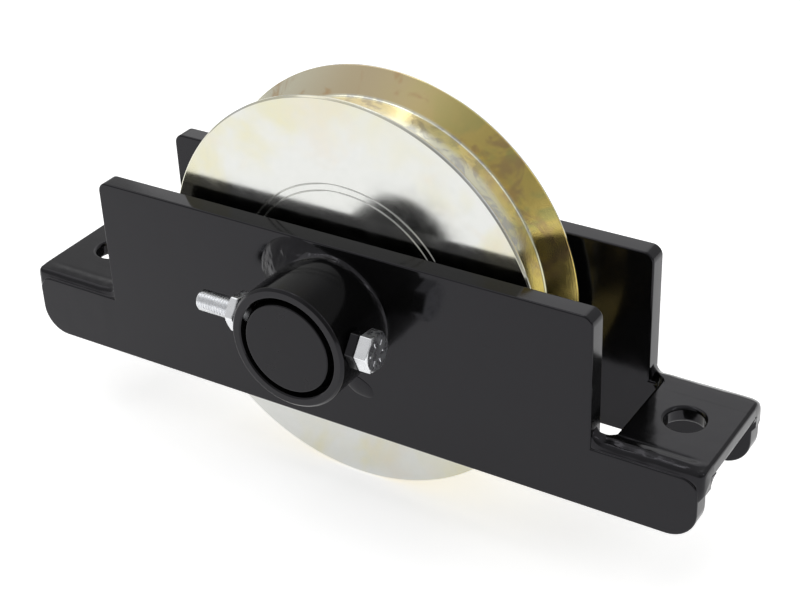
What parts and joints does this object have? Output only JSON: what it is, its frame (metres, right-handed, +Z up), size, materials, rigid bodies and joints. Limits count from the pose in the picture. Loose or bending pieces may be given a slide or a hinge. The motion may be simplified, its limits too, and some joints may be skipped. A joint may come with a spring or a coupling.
{
  "type": "gate wheel",
  "caption": "Grooved steel wheel on sealed ball bearings in a black two-plate bracket that bolts under a sliding gate, with a draw-out axle held by a cross bolt.",
  "frame": {"origin": "centre of the wheel, on the axle's line, half way between the two side plates", "axes": "+X along the bracket, +Y along the axle from the tube side (front) to the plain side (rear), +Z up to the gate"},
  "size_m": [0.369, 0.105, 0.2],
  "materials": {
    "wheel_zinc": "bright zinc plate with a pale yellow passivated tint, turned and polished",
    "bracket_paint": "satin black paint, softened edges",
    "weld_paint": "rippled weld bead under the same satin black paint",
    "axle_paint": "satin black painted turned steel",
    "bolt_zinc": "bright clear zinc plate",
    "spacer_steel": "turned steel",
    "bearing_steel": "ground bearing steel",
    "ball_steel": "polished bearing steel",
    "cage_brass": "satin brass",
    "seal_rubber": "matte black rubber",
    "spring_steel": "phosphated dark spring steel"
  },
  "bodies": {
    "frame": {"front_side_plate": "bracket_paint", "rear_side_plate": "bracket_paint", "left_bridge_plate": "bracket_paint", "right_bridge_plate": "bracket_paint", "axle_tube": "bracket_paint", "tube_weld": "weld_paint", "left_bridge_welds": "weld_paint", "right_bridge_welds": "weld_paint", "axle_pin": "axle_paint", "weld_nut": "weld_paint", "cross_bolt": "bolt_zinc", "lock_nut": "bolt_zinc", "front_spacer": "spacer_steel", "rear_spacer": "spacer_steel", "middle_spacer": "spacer_steel", "front_inner_ring": "bearing_steel", "rear_inner_ring": "bearing_steel"},
    "wheel": {"wheel": "wheel_zinc", "front_outer_ring": "bearing_steel", "rear_outer_ring": "bearing_steel", "front_seals": "seal_rubber", "rear_seals": "seal_rubber", "front_circlip": "spring_steel", "rear_circlip": "spring_steel"},
    "front_rollers": {"front_balls": "ball_steel", "front_cage": "cage_brass"},
    "rear_rollers": {"rear_balls": "ball_steel", "rear_cage": "cage_brass"}
  },
  "joints": [
    {"name": "wheel_spin", "type": "hinge", "parent": "frame", "child": "wheel", "pos_m": [0, 0, 0], "axis": [0, 1, 0], "continuous": true},
    {"name": "front_cage_spin", "type": "hinge", "parent": "frame", "child": "front_rollers", "pos_m": [0, -0.009, 0], "axis": [0, 1, 0], "continuous": true},
    {"name": "rear_cage_spin", "type": "hinge", "parent": "frame", "child": "rear_rollers", "pos_m": [0, 0.009, 0], "axis": [0, 1, 0], "continuous": true}
  ],
  "couplings": [
    {"joint": "front_cage_spin", "follows": "wheel_spin", "ratio": 0.5835},
    {"joint": "rear_cage_spin", "follows": "wheel_spin", "ratio": 0.5835}
  ]
}
